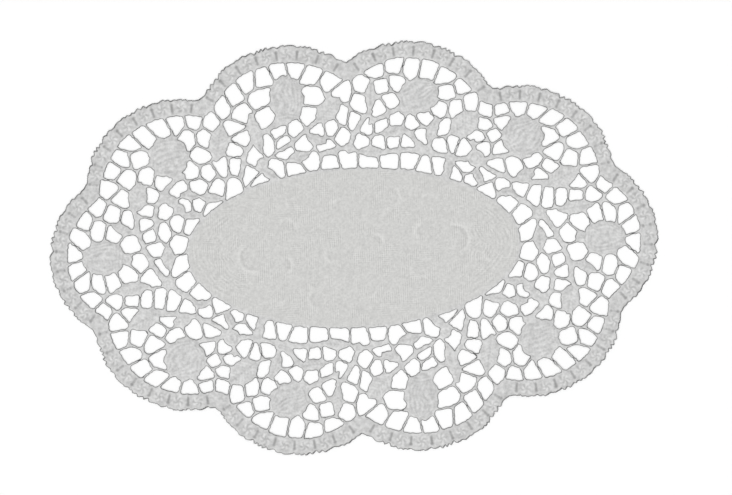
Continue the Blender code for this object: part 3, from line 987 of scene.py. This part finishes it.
def opening_distance(points, openings):
    """Distance to the nearest opening, and -1 in an opening."""
    closest = np.full(len(points), FARTHEST)
    for loop in openings:
        low, high = loop.min(0) - OPENING_NEAR, loop.max(0) + OPENING_NEAR
        near = np.flatnonzero(np.all((points > low) & (points < high), axis=1))
        spots, ends = points[near][:, None], np.roll(loop, -1, 0)
        side = ends - loop
        share = np.clip(((spots - loop) * side).sum(-1) / (side**2).sum(-1), 0.0, 1.0)
        distance = across(spots - loop - share[..., None] * side).min(1)
        crosses = (loop[:, 1] > spots[..., 1]) != (ends[:, 1] > spots[..., 1])
        rise = np.where(side[:, 1] == 0.0, 1.0, side[:, 1])
        hit = loop[:, 0] + (spots[..., 1] - loop[:, 1]) * side[:, 0] / rise
        open_here = (crosses & (spots[..., 0] < hit)).sum(1) % 2 == 1
        closest[near] = np.where(open_here, -1.0, np.minimum(closest[near], distance))
    return closest


def inner_points(outline, openings):
    """Points in the paper and their distances to the nearest cut edge, true and as the painted shade line
    counts them.
    """
    points = [inset(outline[::-1], EDGE_WIDE)] + [inset(loop, EDGE_WIDE) for loop in openings]
    clear = [np.full(len(loop), RIM_ROOM) for loop in points]
    for step in (COARSE, MIDDLE, FINE, FINEST):
        field = lattice(step)
        field = field[edge_depth(field) > EDGE_WIDE]
        field = field[spacing(field) == step]
        points.append(field)
        clear.append(np.full(len(field), INNER_ROOM))
    points, clear = np.vstack(points), np.concatenate(clear)
    (to_edge, facing), to_opening = edge_distance(points, outline), opening_distance(points, openings)
    distance = np.minimum(to_edge, to_opening)
    shaded = np.minimum(to_edge * (1.0 - OUTER_DARKER * facing), to_opening)
    keep = distance > clear
    return points[keep], distance[keep], shaded[keep]


def all_openings():
    middles = hole_middles()
    both = np.vstack([middles, -middles])
    outlines = [fine_outline(hole_outline(middle, both)) for middle in middles]
    return outlines + [-outline for outline in outlines]


def closed_mesh(loops, upper, lower, shades):
    """The mesh between two faces, whose points are those of the loops and then inner ones."""
    mesh = bmesh.new()
    layers = [mesh.verts.layers.float.new(name) for name in SHADES]

    def corner(point, values):
        vert = mesh.verts.new([length * UNIT for length in point])
        for layer, value in zip(layers, values):
            vert[layer] = value
        return vert

    top = [corner(point, values) for point, values in zip(upper, shades)]
    bottom = [corner(point, SHADES_BELOW) for point in lower]
    rim_count = sum(len(loop) for loop in loops)
    for a, b, c in face_layer(loops, upper[rim_count:]):
        mesh.faces.new((top[a], top[b], top[c]))
    for a, b, c in face_layer(loops, lower[rim_count:]):
        mesh.faces.new((bottom[a], bottom[c], bottom[b]))
    first = 0
    for loop in loops:
        for step in range(len(loop)):
            a, b = first + step, first + (step + 1) % len(loop)
            mesh.faces.new((bottom[a], bottom[b], top[b], top[a]))
        first += len(loop)
    bmesh.ops.recalc_face_normals(mesh, faces=mesh.faces)
    data = bpy.data.meshes.new("lace_sheet")
    mesh.to_mesh(data)
    mesh.free()
    return data


def sheet_object():
    """The sheet, and the area of its paper in square metres."""
    outline, openings = serrated_outline(), all_openings()
    loops = [outline] + openings
    rims = np.vstack(loops)
    inner, distance, shaded = inner_points(outline, openings)
    points, at_rim = np.vstack([rims, inner]), np.zeros(len(rims))
    press = mark_press(points)
    height, folds = upper_face(points, np.concatenate([at_rim, distance]), press)
    plain = smooth(-oval_gap(points), 0.0, 2.0)
    shades = np.stack([np.concatenate([at_rim, shaded]), press, folds, plain], -1)
    kept_below = np.concatenate([np.arange(len(rims)), np.arange(len(rims), len(points), UNDER)])
    below = lower_face(points[kept_below], height[kept_below], len(rims))
    upper = np.column_stack([points, height])
    lower = np.column_stack([points[kept_below], below])

    data = closed_mesh(loops, upper, lower, shades)
    data.shade_smooth()
    data.set_sharp_from_angle(angle=math.radians(CREASE))
    area = (outline_area(outline) - sum(abs(outline_area(loop)) for loop in openings)) * UNIT**2
    return placed("lace_sheet", data), area


# Materials


def put(tree, target, values):
    """Set a node's inputs, by name or number, each to a value or a socket."""
    for name, value in values.items():
        if isinstance(value, bpy.types.NodeSocket):
            tree.links.new(value, target.inputs[name])
        else:
            target.inputs[name].default_value = value


def node(tree, kind, values, **settings):
    """A new node with these inputs and settings."""
    new = tree.nodes.new(kind)
    for name, setting in settings.items():
        setattr(new, name, setting)
    put(tree, new, values)
    return new


def noise(tree, place, scale, detail=2.0):
    values = {"Vector": place, "Scale": scale, "Detail": detail}
    return node(tree, "ShaderNodeTexNoise", values).outputs["Fac"]


def math_of(tree, operation, *terms):
    values = dict(enumerate(terms))
    return node(tree, "ShaderNodeMath", values, operation=operation).outputs["Value"]


def sum_of(tree, *terms):
    """A socket with the sum of the terms, each a socket and the number that it counts for."""
    total = 0.0
    for socket, weight in terms:
        total = math_of(tree, "MULTIPLY_ADD", socket, weight, total)
    return total


def product_of(tree, one, other):
    return math_of(tree, "MULTIPLY", one, other)


def ramp_of(tree, socket, lowest, highest, at_low=0.0, at_high=1.0):
    """The socket, led smoothly from lowest and highest to at_low and at_high."""
    values = {"Value": socket, "From Min": lowest, "From Max": highest, "To Min": at_low, "To Max": at_high}
    return node(tree, "ShaderNodeMapRange", values, interpolation_type="SMOOTHSTEP").outputs["Result"]


def attribute(tree, name):
    return node(tree, "ShaderNodeAttribute", {}, attribute_name=name).outputs["Fac"]


def blend_of(tree, factor, one, other, kind="MIX"):
    """Two colours blended; each is a colour or a socket."""
    values = {0: factor, 6: one, 7: other}
    return node(tree, "ShaderNodeMix", values, data_type="RGBA", blend_type=kind).outputs[2]


def new_material(name, surface_of):
    """A material with the surface that a function gives for its node tree."""
    material = bpy.data.materials.new(name)
    material.use_nodes = True
    tree = material.node_tree
    put(tree, tree.nodes["Principled BSDF"], surface_of(tree))
    return material


THREAD = 0.00130  # pitch of the linen grain in the plain oval, in metres
THREAD_SCALE = TURN / (20.0 * THREAD)  # a wave texture has 20 radians for each unit of its scale
SPECKLE_SCALE = 800.0  # noise scales, for each metre
MOTTLE_SCALE = 380.0
CLOUD_SCALE = 150.0
RIM_SCALE = 170.0
UPRIGHT_SCALE = 85.0
LEVEL_SCALE = 70.0
FIBRE_SCALE = 1500.0
SPECKLE_SHARE = 0.66  # how much each counts between DEEP_PAPER and HIGH_PAPER
MOTTLE_SHARE = 0.80  # in the lace alone
CLOUD_SHARE = 0.05
# the folds: painted shade in the relief's troughs and painted highlight on its ridges
FOLDS_SHARE = 0.36
LINEN_SHARE = 0.23
LACE_SHARE = -0.40  # balances the mottle
SHADE_RANGE = (-0.31, 0.99)
DEEP_PAPER = (0.388, 0.388, 0.386, 1.0)
HIGH_PAPER = (0.776, 0.776, 0.772, 1.0)
WARMTH = (1.0, 0.999, 0.984, 1.0)
# Painted shade: the near-black colour of the dark line along every cut edge and in the border's pressed
# marks, then that line's width, unevenness and strength
PAINTED_SHADE_COLOUR = (0.075, 0.075, 0.075, 1.0)
RIM_LINE = (0.20, 0.57)  # a dark rim is full and gone this far in, in millimetres
RIM_NOISE = (0.36, 0.64)
RIM_STRENGTH = (0.62, 1.0)
DARKEST = 0.98
ROUGHNESS = (0.78, 0.92)
SPECULAR = 0.25
BUMP = {"Strength": 0.45, "Distance": 0.0003}


def linen_grain(tree, place):
    """Patches of upright and of level threads, which come and go."""
    threads = []
    for direction in ("X", "Y"):
        values = {"Vector": place, "Scale": THREAD_SCALE, "Distortion": 1.6, "Detail": 1.0}
        new = node(tree, "ShaderNodeTexWave", values, bands_direction=direction)
        threads.append(new.outputs["Fac"])
    upright = ramp_of(tree, noise(tree, place, UPRIGHT_SCALE), 0.48, 0.60)
    level = ramp_of(tree, noise(tree, place, LEVEL_SCALE), 0.54, 0.66, 0.0, 0.7)
    patches = [product_of(tree, *pair) for pair in ((threads[0], upright), (threads[1], level))]
    woven = sum_of(tree, (patches[0], 1.0), (patches[1], 1.0))
    woven = sum_of(tree, (woven, 1.0), (upright, -0.5), (level, -0.5))
    return product_of(tree, woven, attribute(tree, "plain"))


def paper_colour(tree, place, speckle, linen):
    """The paper's tone, from deep to high, warmer in the plain oval: random grain and mottle, with painted
    shade and highlight on the relief's folds.
    """
    mottle = noise(tree, place, MOTTLE_SCALE)
    lace = ramp_of(tree, attribute(tree, "plain"), 0.0, 1.0, 1.0, 0.0)
    cloud, folds = noise(tree, place, CLOUD_SCALE), attribute(tree, "folds")
    shade = sum_of(
        tree,
        (speckle, SPECKLE_SHARE),
        (cloud, CLOUD_SHARE),
        (folds, FOLDS_SHARE),
        (linen, LINEN_SHARE),
        (lace, LACE_SHARE),
    )
    shade = sum_of(tree, (shade, 1.0), (product_of(tree, mottle, lace), MOTTLE_SHARE))
    paper = blend_of(tree, ramp_of(tree, shade, *SHADE_RANGE), DEEP_PAPER, HIGH_PAPER)
    return blend_of(tree, attribute(tree, "plain"), paper, WARMTH, "MULTIPLY")


def painted_shade_amount(tree, place):
    """How much painted shade darkens the paper: a line along the cut edges, uneven, and in the border's
    pressed marks.
    """
    rim = ramp_of(tree, attribute(tree, "cut_distance"), *RIM_LINE, 1.0, 0.0)
    uneven = ramp_of(tree, noise(tree, place, RIM_SCALE), *RIM_NOISE, *RIM_STRENGTH)
    rim = product_of(tree, rim, uneven)
    # the pressed marks get the same painted shade as the cut edges, darker the deeper they are pressed
    return sum_of(tree, (math_of(tree, "MAXIMUM", rim, attribute(tree, "pressed")), DARKEST))


def paper_surface(tree):
    """White paper with a fine grain, and painted shade along its cut edges and in its pressed marks."""
    place = node(tree, "ShaderNodeTexCoord", {}).outputs["Object"]
    speckle = noise(tree, place, SPECKLE_SCALE, 3.0)
    linen = linen_grain(tree, place)
    paper = paper_colour(tree, place, speckle, linen)
    fibre = noise(tree, place, FIBRE_SCALE)
    height = sum_of(tree, (fibre, 0.4), (speckle, 0.5), (linen, 0.35))
    bump = node(tree, "ShaderNodeBump", {**BUMP, "Height": height})
    return {
        "Metallic": 0.0,
        "Specular IOR Level": SPECULAR,
        "Base Color": blend_of(tree, painted_shade_amount(tree, place), paper, PAINTED_SHADE_COLOUR),
        "Roughness": ramp_of(tree, speckle, 0.2, 0.8, *ROUGHNESS),
        "Normal": bump.outputs["Normal"],
    }


# The table, the light and the camera

TABLE_HALF = 2.0  # half its side, in metres
TABLE_SURFACE = {"Base Color": (0.94, 0.94, 0.94, 1.0), "Roughness": 0.9}
SKY = 0.90
KEY = 0.85
KEY_SOFTNESS = 25.0  # the key light's width and turns, in degrees
KEY_TURNS = (40.0, -34.0, 0.0)
PHOTO_LONG = 732  # the photograph's size, in pixels
PHOTO_SHORT = 495
MIDDLE_X = 354.0  # the doily's middle in the photograph's frame
MIDDLE_Y = 248.0
LONG_SPAN = 608.4  # the doily's length there
TILT = math.radians(2.5)
LENS = 85.0


def floor_object():
    half = TABLE_HALF
    corners = [(-half, -half, 0), (half, -half, 0), (half, half, 0), (-half, half, 0)]
    data = bpy.data.meshes.new("floor")
    data.from_pydata(corners, [], [(0, 1, 2, 3)])
    data.materials.append(new_material("white_table", lambda tree: TABLE_SURFACE))
    floor = placed("floor", data)


def light_scene():
    """A white sky all round and one soft light from the lower left of the view."""
    world = bpy.data.worlds.new("studio")
    world.use_nodes = True
    tree = world.node_tree
    put(tree, tree.nodes["Background"], {"Color": (1.0, 1.0, 1.0, 1.0), "Strength": SKY})
    bpy.context.scene.world = world
    light = bpy.data.lights.new("soft_key", "SUN")
    light.energy = KEY
    light.angle = math.radians(KEY_SOFTNESS)
    key = placed("soft_key", light)
    key.rotation_euler = [math.radians(turn) for turn in KEY_TURNS]


def camera_above():
    """A camera straight above that frames the doily as the photograph does."""
    data = bpy.data.cameras.new("camera")
    data.lens = LENS
    scale = LENGTH * UNIT / LONG_SPAN
    right = (PHOTO_LONG / 2.0 - MIDDLE_X) * scale
    up = (MIDDLE_Y - PHOTO_SHORT / 2.0) * scale
    camera = placed("camera", data)
    camera.location = (
        right * math.cos(TILT) + up * math.sin(TILT),
        up * math.cos(TILT) - right * math.sin(TILT),
        PHOTO_LONG * scale * LENS / data.sensor_width,
    )
    camera.rotation_euler = (0.0, 0.0, -TILT)
    bpy.context.scene.camera = camera


camera_above()
light_scene()
floor_object()
sheet, paper_area = sheet_object()
sheet.data.materials.append(new_material("embossed_paper", paper_surface))
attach(sheet, "root")
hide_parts("doily")
bpy.context.scene.view_settings.view_transform = "Standard"
